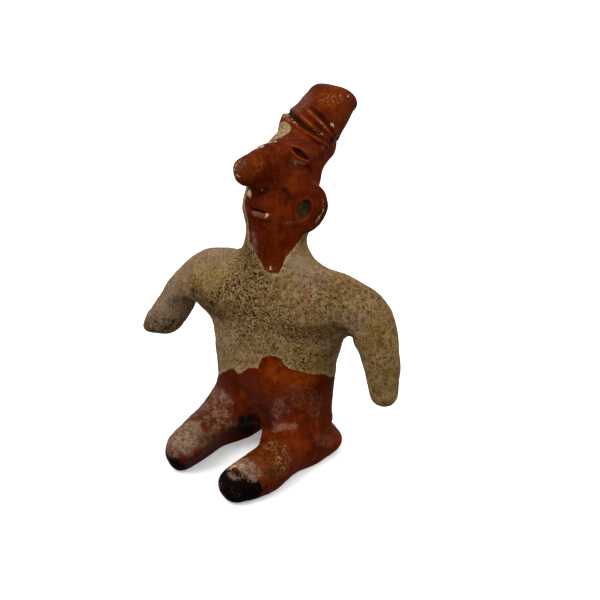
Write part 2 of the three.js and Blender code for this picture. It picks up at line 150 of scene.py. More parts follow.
EAR = [23.4, 10.5, 187.5]
EAR_RADII = [5, 15.5, 15.8]
EAR_YAW = 12
EYE = [16.8, 6.6, 224.2]
EYE_OUTWARD = [0.74, -0.47, 0.48]
EYE_ALONG = [0.62, 0.5, -0.53]
MOUTH = [3.5, -20.5, 187.6]
MOUTH_OUTWARD = [0.12, -0.99, 0]
MOUTH_ALONG = [0.99, 0.12, -0.1]

FAR = 100.0
rad = math.radians


def sample(table, h):
    """Smooth value of each column of a table at the values h of its first column."""
    t = np.array(table, float)
    x, y = t[:, 0], t[:, 1:]
    slope = np.empty_like(y)
    slope[1:-1] = (y[2:] - y[:-2]) / (x[2:] - x[:-2])[:, None]
    slope[0] = (y[1] - y[0]) / (x[1] - x[0])
    slope[-1] = (y[-1] - y[-2]) / (x[-1] - x[-2])
    h = np.clip(h, x[0], x[-1])
    i = np.clip(np.searchsorted(x, h) - 1, 0, len(x) - 2)
    span = (x[i + 1] - x[i])[:, None]
    u = (h - x[i])[:, None] / span
    u2, u3 = u * u, u * u * u
    value = (
        (2 * u3 - 3 * u2 + 1) * y[i] + (u3 - 2 * u2 + u) * span * slope[i]
        + (3 * u2 - 2 * u3) * y[i + 1] + (u3 - u2) * span * slope[i + 1]
    )
    return value.T


def smoothstep(x, lo, hi):
    t = np.clip((x - lo) / (hi - lo), 0, 1)
    return t * t * (3 - 2 * t)


def smooth_union(a, b, k):
    h = np.maximum(k - np.abs(a - b), 0) / k
    return np.minimum(a, b) - h * h * k / 4


def smooth_cut(a, b, k):
    return -smooth_union(-a, -b, k)


def round_cone(p, a, b, ra, rb):
    ba = b - a
    l2 = ba @ ba
    rr = ra - rb
    a2 = l2 - rr * rr
    pa = p - a
    y = pa @ ba
    z = y - l2
    x2 = ((pa * l2 - np.outer(y, ba)) ** 2).sum(1)
    y2 = y * y * l2
    z2 = z * z * l2
    k = np.sign(rr) * rr * rr * x2
    d = (np.sqrt(x2 * a2 / l2) + y * rr) / l2 - ra
    d = np.where(np.sign(y) * a2 * y2 < k, np.sqrt(x2 + y2) / l2 - ra, d)
    return np.where(np.sign(z) * a2 * z2 > k, np.sqrt(x2 + z2) / l2 - rb, d)


def rope(stations, steps=6):
    """A rolled limb along smooth stations of place and radius."""
    numbered = [[i] + list(s) for i, s in enumerate(stations)]
    at = sample(numbered, np.linspace(0, len(stations) - 1, steps * (len(stations) - 1) + 1)).T

    def shape(p):
        d = np.full(len(p), FAR)
        for a, b in zip(at[:-1], at[1:]):
            d = np.minimum(d, round_cone(p, a[:3], b[:3], a[3], b[3]))
        return d

    return shape


def ellipsoid(centre, radii):
    centre, radii = np.array(centre, float), np.array(radii, float)

    def shape(p):
        q = p - centre
        k0 = np.sqrt(((q / radii) ** 2).sum(1))
        k1 = np.sqrt(((q / radii ** 2) ** 2).sum(1))
        return k0 * (k0 - 1) / np.maximum(k1, 1e-9)

    return shape


def oval(x, y, w, d, n):
    m = ((np.abs(x) / w) ** n + (np.abs(y) / d) ** n) ** (1 / n)
    return np.hypot(x, y) * (1 - 1 / np.maximum(m, 1e-6))


def leaning(angle):
    """Axes turned about x by an angle in degrees, as columns."""
    c, s = math.cos(rad(angle)), math.sin(rad(angle))
    return np.array([[1, 0, 0], [0, c, -s], [0, s, c]])


def facing(outward, along, side=1):
    """Axes whose third looks out of the surface and whose first runs along a feature."""
    z = np.array(outward, float) * [side, 1, 1]
    z /= np.linalg.norm(z)
    x = np.array(along, float) * [side, 1, 1]
    x -= z * (x @ z)
    x /= np.linalg.norm(x)
    return np.stack([x, np.cross(z, x), z], axis=1)


def turn_z(p, angle):
    """Points turned about the upright axis by an angle in radians."""
    c, s = np.cos(angle), np.sin(angle)
    return np.stack([c * p[:, 0] - s * p[:, 1], s * p[:, 0] + c * p[:, 1], p[:, 2]], axis=1)


def sleeve(place, axes, sections, squareness, ends, rounding):
    place = np.array(place, float)

    def shape(p):
        q = (p - place) @ axes
        cx, cy, w, d = sample(sections, q[:, 2])
        side = oval(q[:, 0] - cx, q[:, 1] - cy, w, d, squareness)
        cap = np.maximum(ends[0] - q[:, 2], q[:, 2] - ends[1])
        return smooth_cut(side, cap, rounding)

    return shape


def torso():
    straight = sleeve([0, 0, 0], np.eye(3), TORSO_SECTIONS, 2.5, [-50, 143.5], 34)

    def shape(p):
        turn = rad(TWIST) * smoothstep(p[:, 2], *TWIST_HEIGHTS)
        return straight(turn_z(p, -turn))

    return shape


def turned(shape):
    return lambda p: shape(turn_z(p, -rad(TWIST)))


def placed(shape, place, axes):
    place = np.array(place, float)
    return lambda p: shape((p - place) @ axes)


def only(lo, hi, shape):
    """The shape worked out inside a box, and far away outside it."""
    def inside(p):
        d = np.full(len(p), FAR)
        near = np.all((p > lo) & (p < hi), axis=1)
        if near.any():
            d[near] = shape(p[near])
        return d

    return inside


def mirrored(values, side):
    return [side * values[0]] + list(values[1:])


def yaw(angle):
    c, s = math.cos(rad(angle)), math.sin(rad(angle))
    return np.array([[c, -s, 0], [s, c, 0], [0, 0, 1]])


HEAD_AXES = leaning(-HEAD_LEAN)
HEAD_BOX = ([-60, -80, 130], [60, 110, 290])
LEG_BOX = ([-90, -130, -60], [90, 70, 75])


def lumps():
    yield only([-95, -75, -60], [95, 75, 175], torso()), 1
    yield only(*LEG_BOX, rope(LEFT_LEG)), 18
    yield only(*LEG_BOX, rope(RIGHT_LEG)), 18
    for side in (1, -1):
        yield only(*LEG_BOX, ellipsoid(mirrored(BUTTOCK, side), BUTTOCK_RADII)), 6
    for side in (1, -1):
        breast = turned(ellipsoid(mirrored(BREAST, side), BREAST_RADII))
        yield only([-95, -75, 70], [95, 60, 175], breast), 16
    yield only([-20, -60, 20], [140, 80, 185], turned(rope(LEFT_ARM))), 22
    yield only([-150, -80, 30], [20, 60, 185], turned(rope(RIGHT_ARM))), 22
    yield only([-60, -60, 60], [60, 70, 240], rope(NECK)), 17
    yield only(*HEAD_BOX, sleeve(HEAD_MIDDLE, HEAD_AXES, HEAD_SECTIONS, 2.2, [-20, 87.8], 9)), 12
    nose = sleeve(NOSE_ROOT, leaning(90 + NOSE_DROP), NOSE_SECTIONS, 2, [-10, 45], 8)
    yield only(*HEAD_BOX, nose), 12
    for side in (1, -1):
        disc = placed(ellipsoid([0, 0, 0], EAR_RADII), mirrored(EAR, side), yaw(-side * EAR_YAW))
        yield only(*HEAD_BOX, disc), 6
    for side in (1,):
        mound = ellipsoid([0, 0, 0], [10, 6, 3])
        axes = facing(EYE_OUTWARD, EYE_ALONG, side)
        yield only(*HEAD_BOX, placed(mound, mirrored(EYE, side), axes)), 5


LUMPS = list(lumps())
GAP_SHAPE = only([-60, -130, -60], [60, 60, 60], rope(GAP))
HOLLOW_SHAPE = only([-60, -130, -60], [60, 60, 60], ellipsoid(HOLLOW, HOLLOW_RADII))


def clay(p):
    """Signed distance to the smooth body, before carving."""
    d = np.full(len(p), FAR)
    for shape, blend in LUMPS:
        d = smooth_union(d, shape(p), blend)
    d = smooth_cut(d, -smooth_union(GAP_SHAPE(p), HOLLOW_SHAPE(p), 8), 8)
    return smooth_cut(d, -p[:, 2], 3)


# ---------------------------------------------------------------- carving and surface relief
def hump(d, width):
    return np.exp(-((d / width) ** 2))


def polyline(points, steps=4):
    """Distance to a smooth curve through points, and the share of the way along it."""
    numbered = [[i] + list(q) for i, q in enumerate(points)]
    at = sample(numbered, np.linspace(0, len(points) - 1, steps * (len(points) - 1) + 1)).T

    def measure(p):
        best = np.full(len(p), FAR)
        share = np.zeros(len(p))
        for i, (a, b) in enumerate(zip(at[:-1], at[1:])):
            ab = b - a
            t = np.clip(((p - a) @ ab) / (ab @ ab), 0, 1)
            d = np.linalg.norm(p - a - t[:, None] * ab, axis=1)
            nearer = d < best
            best = np.where(nearer, d, best)
            share = np.where(nearer, (i + t) / (len(at) - 1), share)
        return best, share

    return measure


def waves(p, length, seed, count=14):
    """Smooth noise of about the given wavelength, mostly within -1 to 1."""
    rng = np.random.default_rng(seed)
    total = np.zeros(len(p))
    for _ in range(count):
        way = rng.normal(size=3)
        way /= np.linalg.norm(way)
        total += np.cos(p @ way * (2 * math.pi / (length * rng.uniform(0.7, 1.5))) + rng.uniform(0, 6.28))
    return total / math.sqrt(count)


# Grooves round the cap: for angles round it from its front, the place along the head's axis,
# half width and depth
GROOVES = [
    [[8, 65.8, 1.0, 0], [20, 65, 1.4, 1.5], [53, 63.7, 1.8, 2.0], [67, 62.4, 1.8, 2.0],
     [95, 60.2, 1.6, 1.6], [125, 59, 1.4, 0.8], [150, 58.5, 1.2, 0]],
    [[-14, 60.8, 1.0, 0], [10, 58.6, 1.3, 1.0], [40, 56.5, 1.5, 1.5], [65, 55.5, 1.5, 1.4],
     [83, 55.1, 1.4, 1.0], [110, 55, 1.2, 0]],
    [[-80, 57, 1.2, 0], [-50, 54.8, 1.7, 2.0], [-29, 53.8, 2.0, 2.6], [1, 51.4, 2.3, 3.0],
     [26, 50.1, 2.2, 3.0], [46, 50.4, 2.0, 2.4], [67, 51.3, 1.6, 1.6], [85, 51.5, 1.4, 0.8],
     [100, 52, 1.2, 0]],
    [[-12, 46.5, 1.0, 0], [12, 45.3, 1.2, 0.9], [26, 45, 1.3, 1.3], [47, 45.5, 1.4, 1.4],
     [67, 45.5, 1.3, 1.2], [82, 47.4, 1.1, 0.8], [95, 48, 1.0, 0]],
]
RIDGES = [
    [[6, 68.5, 1.2, 0], [25, 67.4, 1.3, 0.5], [60, 65.6, 1.4, 0.6], [85, 63.6, 1.3, 0]],
    [[-14, 64.6, 1.1, 0], [5, 62.7, 1.3, 0.5], [45, 60.0, 1.3, 1.0], [74, 58.4, 1.2, 0.8],
     [95, 57.6, 1.0, 0]],
    [[-45, 58, 2.0, 0], [0, 55.2, 2.2, 0.6], [45, 53.4, 2.0, 0.8], [80, 53.4, 1.6, 0]],
    [[-75, 51, 2.5, 0], [-48, 50.8, 2.5, 1.2], [-10, 48.7, 2.4, 0.8], [26, 47.6, 2.2, 1.0],
     [60, 48.3, 2.0, 0.9], [85, 49.5, 1.5, 0]],
]
BAND_LEFT_DROP = 0.26
BAND_BACK_DROP = 0.12
BAND_FRONT = -12


def cap_relief(p):
    q = (p - HEAD_MIDDLE) @ HEAD_AXES
    _, cy, _, _ = sample(HEAD_SECTIONS, q[:, 2])
    turn = np.degrees(np.arctan2(q[:, 0], cy - q[:, 1]))
    s = q[:, 2] + BAND_LEFT_DROP * q[:, 0] + BAND_BACK_DROP * (q[:, 1] - BAND_FRONT)
    h = np.zeros(len(p))
    for table, sign in [(t, -1) for t in GROOVES] + [(t, 1) for t in RIDGES]:
        at, width, size = sample(table, turn)
        inside = (turn > table[0][0]) & (turn < table[-1][0])
        h += np.where(inside, sign * size * hump(s - at, width), 0)
    return h


EYE_LENGTH = 16.5
EYE_HEIGHT = 4.6
EYE_DEPTH = 3.2


def eye_relief(p, side):
    axes = facing(EYE_OUTWARD, EYE_ALONG, side)
    q = (p - mirrored(EYE, side)) @ axes
    x, y, z = q.T
    lens = EYE_HEIGHT / 2 * np.clip(1 - (2 * x / EYE_LENGTH) ** 2, 0, 1)
    edge = np.abs(y) - lens
    within = np.abs(x) < EYE_LENGTH / 2
    near = hump(z, 9)
    cut = -EYE_DEPTH * smoothstep(-edge, -0.3, 1.3) * within
    ends = 1 - smoothstep(np.abs(x), EYE_LENGTH / 2 - 1, EYE_LENGTH / 2 + 2.5)
    rim = 0.9 * hump(edge - 0.9, 1.0) * ends
    return near * (cut + rim)


MOUTH_LENGTH = 18
MOUTH_HEIGHT = 2.4
MOUTH_DEPTH = 2.6


def mouth_relief(p):
    q = (p - MOUTH) @ facing(MOUTH_OUTWARD, MOUTH_ALONG)
    x, y, z = q.T
    slit = MOUTH_HEIGHT / 2 * np.clip(1 - (2 * x / MOUTH_LENGTH) ** 2, 0, 1)
    edge = np.abs(y) - slit
    within = np.abs(x) < MOUTH_LENGTH / 2
    near = hump(z, 9)
    cut = -MOUTH_DEPTH * smoothstep(-edge, -0.3, 0.9) * within
    fade = 1 - smoothstep(np.abs(x), 7, 12)
    upper = 0.9 * hump(y - 4.2, 3.0) * fade
    lower = 1.0 * hump(y + 3.2, 2.4) * fade
    return near * (cut + upper + lower)


EAR_HOLE = [28.4, 0.6, 188.0]
EAR_HOLE_YAW = -20
EAR_HOLE_RADIUS = 5.3
EAR_HOLE_DEPTH = 6.5
EAR_HOLE_LEAN = 0.2
CRESCENT_RADIUS = 17
CRESCENT_BACK = 3


def ear_relief(p, side):
    turn = rad(EAR_HOLE_YAW)
    axes = facing([math.cos(turn), math.sin(turn), 0], [0, 0, 1], side)
    q = (p - mirrored(EAR_HOLE, side)) @ axes
    lean = q[:, 1] + EAR_HOLE_LEAN * q[:, 0]
    r = np.hypot(q[:, 0] / 1.15, lean)
    near = hump(q[:, 2], 11)
    hole = -EAR_HOLE_DEPTH * smoothstep(EAR_HOLE_RADIUS - r, -0.5, 1.6)
    rim = 0.5 * hump(r - EAR_HOLE_RADIUS - 1.3, 1.2)
    dy = p[:, 1] - EAR_HOLE[1] - CRESCENT_BACK
    dz = p[:, 2] - EAR_HOLE[2]
    reach = np.abs(np.degrees(np.arctan2(dz, dy)))
    groove = -1.3 * hump(np.hypot(dy, dz) - CRESCENT_RADIUS, 1.3) * (1 - smoothstep(reach, 34, 50))
    outer = side * p[:, 0] > EAR[0] - 6
    return near * (hole + rim) + groove * outer


# Creases and folds: points along them, half width and depth (negative depth stands proud)
CREASES = [
    ([[16, -4.5, 217], [18, -1, 216], [20.2, 3, 215.4], [23, 11, 215]], 1.8, 1.0),
    ([[9.8, 5.1, 233], [13.5, 11.2, 232.8], [17.1, 13.8, 230.7], [21.1, 13.1, 226.4],
      [22.9, 12.9, 223.5]], 0.7, 0.6),
    ([[9.0, 8.0, 236], [13.5, 13.5, 235], [18, 16.2, 232], [22, 15.6, 227]], 0.7, 0.5),
    ([[9.4, 6.6, 234.6], [13.5, 12.4, 234], [17.6, 15, 231.4], [21.6, 14.4, 226.7]], 0.8, -0.5),
    ([[-14, -31, 52], [0, -31, 49.5], [10.4, -30.6, 47], [22, -28.9, 43.5]], 5.0, 1.3),
    ([[36, -20, 106], [50.8, -11.6, 108.5], [63, -4.6, 112]], 5.0, 0.8),
    ([[-38, -30, 104], [-30, -33, 104], [-18, -33, 105.5]], 5.0, 0.6),
    ([[85.5, 2, 84], [86, 3, 76], [88.5, 3, 70], [92, 4, 66.5]], 0.8, 0.6),
    ([[64, -5, 109], [64, 3, 104.5], [64, 12, 103]], 3.6, 1.5),
    ([[-56, -26, 138], [-59, -32, 130], [-58.5, -34, 122], [-55, -33, 114], [-50, -28, 108]],
     2.2, 0.9),
]


def crease_relief(p):
    h = np.zeros(len(p))
    for points, width, depth in CREASES:
        lo = np.min(points, axis=0) - 4 * width
        hi = np.max(points, axis=0) + 4 * width
        near = np.all((p > lo) & (p < hi), axis=1)
        if not near.any():
            continue
        d, share = polyline(points)(p[near])
        ends = smoothstep(share, 0, 0.12) * (1 - smoothstep(share, 0.88, 1))
        h[near] -= depth * hump(d, width) * ends
    return h


# Small swellings and flats: middle, width and height
SWELLINGS = [
    ([17.5, 41, 220.5], 6, 1.3),
    ([18.3, 31.5, 207.5], 5, -1.5),
    ([-108.5, -34, 75.5], 4.5, 1.9),
    ([-111.5, -31.5, 85], 5, -1.1),
]


def swelling_relief(p):
    return sum(
        height * hump(np.linalg.norm(p - middle, axis=1), width)
        for middle, width, height in SWELLINGS
    )


def azimuth(p, cx=0, cy=0):
    """Angle about an upright axis, 0 at the front and 90 at the figure's left."""
    return np.degrees(np.arctan2(p[:, 0] - cx, cy - p[:, 1]))


def seat_relief(p):
    """The rim of clay that spreads round the back of the seat."""
    behind = smoothstep(p[:, 1], -8, 4)
    z = p[:, 2]
    lip = 1.2 * smoothstep(z, 3, 12) * (1 - smoothstep(z, 17.5, 20))
    return behind * (lip - 1.7 * hump(z - 22.5, 4.5))


def hand_relief(p):
    """Unevenness left by the hands that shaped the clay."""
    return 0.32 * waves(p, 26, 11) + 0.16 * waves(p, 11, 12) + 0.06 * waves(p, 5, 13)


def on_head(p, *reliefs):
    """Sum of reliefs, worked out only where the head is."""
    h = np.zeros(len(p))
    head = p[:, 2] > 165
    if head.any():
        h[head] = sum(one(p[head]) for one in reliefs)
    return h


def eyes_relief(p):
    return eye_relief(p, 1) + eye_relief(p, -1)


def ears_relief(p):
    return ear_relief(p, 1) + ear_relief(p, -1)


def carving(p):
    return on_head(p, cap_relief, mouth_relief, eyes_relief, ears_relief)


def relief(p):
    h = hand_relief(p) + crease_relief(p) + swelling_relief(p) + seat_relief(p) + carving(p)
    return h * smoothstep(p[:, 2], 0.2, 3)


def figure_field(p):
    return clay(p) - relief(p)


def slope(field, p, step=0.15):
    """Value and gradient of a field from four samples round each point."""
    corners = np.array([[1, 1, 1], [1, -1, -1], [-1, 1, -1], [-1, -1, 1]], float)
    values = [field(p + step * c) for c in corners]
    grad = sum(v[:, None] * c for v, c in zip(values, corners)) / (4 * step)
    return sum(values) / 4, grad


def settle(p, rounds, reach):
    for _ in range(rounds):
        value, grad = slope(figure_field, p)
        size = np.maximum(np.linalg.norm(grad, axis=1), 0.35)
        move = np.clip(-value / size, -reach, reach)
        p = p + grad / size[:, None] * move[:, None]
        p[:, 2] = np.maximum(p[:, 2], 0)
    return p


# ---------------------------------------------------------------- mesh
def get_points(mesh):
    co = np.empty(len(mesh.vertices) * 3)
    mesh.vertices.foreach_get("co", co)
    return co.reshape(-1, 3) * 1000 + MIDDLE


def set_points(mesh, p):
    mesh.vertices.foreach_set("co", ((p - MIDDLE) / 1000).astype(np.float32).ravel())
    mesh.update()


def apply_modifiers(obj):
    graph = bpy.context.evaluated_depsgraph_get()
    mesh = bpy.data.meshes.new_from_object(obj.evaluated_get(graph))
    old = obj.data
    obj.modifiers.clear()
    obj.data = mesh
    bpy.data.meshes.remove(old)


def relax(mesh, p, rounds, share):
    """Evens out the spacing of points along the surface."""
    edges = np.empty(len(mesh.edges) * 2, np.int64)
    mesh.edges.foreach_get("vertices", edges)
    a, b = edges.reshape(-1, 2).T
    count = np.bincount(np.concatenate([a, b]), minlength=len(p))[:, None]
    for _ in range(rounds):
        total = np.stack([
            np.bincount(a, p[b, i], len(p)) + np.bincount(b, p[a, i], len(p)) for i in range(3)
        ], axis=1)
        p = p + share * (total / count - p)
    return p


VOXEL = 0.85
TRIANGLES = 190000


def make_figure():
    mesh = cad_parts["figure"].data.copy()
    mesh.name = "clay_figure"
    mesh.materials.clear()
    obj = bpy.data.objects.new("clay_figure", mesh)
    bpy.context.scene.collection.objects.link(obj)
    bm = bmesh.new()
    bm.from_mesh(mesh)
    bmesh.ops.remove_doubles(bm, verts=bm.verts, dist=1e-6)
    bm.to_mesh(mesh)
    bm.free()
    remesh = obj.modifiers.new("remesh", "REMESH")
    remesh.mode = "VOXEL"
    remesh.voxel_size = VOXEL / 1000
    apply_modifiers(obj)
    p = get_points(obj.data)
    p = relax(obj.data, p, 3, 0.5)
    p = settle(p, 3, 1.5)
    p = relax(obj.data, p, 2, 0.5)
    p = settle(p, 3, 0.8)
    set_points(obj.data, p)
    group = obj.vertex_groups.new(name="head")
    head = np.nonzero(p[:, 2] > 165)[0]
    group.add(head.tolist(), 1.0, "REPLACE")
    decimate = obj.modifiers.new("decimate", "DECIMATE")
    decimate.ratio = min(1.0, TRIANGLES / (2 * len(obj.data.polygons)))
    decimate.vertex_group = "head"
    decimate.invert_vertex_group = True
    decimate.vertex_group_factor = 0.6
    apply_modifiers(obj)
    obj.vertex_groups.clear()
    p = settle(get_points(obj.data), 1, 0.4)
    set_points(obj.data, p)
    obj.data.shade_smooth()
    return obj, p


figure, points = make_figure()
print("figure triangles", sum(len(q.vertices) - 2 for q in figure.data.polygons))


# ---------------------------------------------------------------- where the slip and the wear lie
# Upper edge of the slip on the lower body: angle from the front and height
BELLY_EDGE = [
    [-180, 30], [-155, 33], [-140, 32], [-118, 37], [-96, 39], [-75, 48], [-55, 54],
    [-45, 59], [-35, 64], [-28, 67.1], [-22, 68.7],
    [-18, 68.7], [-15.5, 66.9], [-13, 65.7], [-9.5, 67.1], [-5.5, 68.8], [1, 71.9], [6, 73.4],
    [12.5, 74.4], [19, 74.6], [20.6, 77.2], [21.6, 80.2], [23.5, 82.4], [27, 84.1], [31.5, 85.8],
    [36, 86.7], [40, 87], [44, 86.7], [47, 86.1], [49.3, 84.8], [51.5, 82.4], [53.3, 80.1],
    [56, 79.5], [60, 78.8], [64, 78], [69, 76.6], [76, 74.5], [82, 73.4], [88.5, 71.9], [93, 70],
    [98, 67], [104, 65], [113, 61], [120, 58], [128, 51], [140, 46], [152, 37], [166, 33],
    [180, 30],
]
# Lower edge of the slip on the neck: angle from the front and height
BIB_EDGE = [
    [-180, 175], [-145, 177.5], [-110, 180], [-70, 186], [-45, 190], [-30, 180],
    [-24, 174.5], [-18, 170.5],
    [-13, 167.5], [-8, 164.5], [-1, 160.5], [6, 157.5], [13, 153.6], [19, 150.2], [25, 147.6],
    [31, 145.7], [38, 145.2], [45, 146.2], [49.5, 149], [53.5, 152.7], [58, 155.6], [66, 158.6],
    [76, 162], [84, 165], [93, 168.5], [99, 170.5], [105, 171], [112, 171.5], [125, 172.5],
    [142, 177], [160, 174.5], [180, 175],
]


def slip_edge(p):
    """Distance inside the slip's edge, in millimetres, positive under the slip."""
    (low,) = sample(BELLY_EDGE, azimuth(p))
    below = low - p[:, 2]
    (high,) = sample(BIB_EDGE, azimuth(p, 0, 2))
    above = 0.8 * (p[:, 2] - high)
    arms = (np.hypot(p[:, 0], p[:, 1]) > 54) & (p[:, 2] > 50) & (p[:, 2] < 150)
    painted = np.where(p[:, 2] < 118, below, above)
    painted = np.where(arms, -10, painted)
    cheek = ellipsoid([-24, -6, 184], [20, 20, 30])(p)
    brow = ellipsoid([-13, 10, 238], [15.5, 12, 9])(p)
    head = p[:, 2] > 118
    return np.where(head, np.minimum(painted, np.minimum(cheek, brow)), painted)


def patches(p, table):
    """Soft patches along lines through points: from 0 outside to each one's own strength."""
    total = np.zeros(len(p))
    for places, radius, strength in table:
        if len(places) > 1:
            d, _ = polyline(places)(p)
        else:
            d = np.linalg.norm(p - places[0], axis=1)
        total = np.maximum(total, strength * (1 - smoothstep(d, 0.3 * radius, radius)))
    return total


def store(name, values):
    attribute = figure.data.attributes.new(name, "FLOAT", "POINT")
    attribute.data.foreach_set("value", np.asarray(values, np.float32))


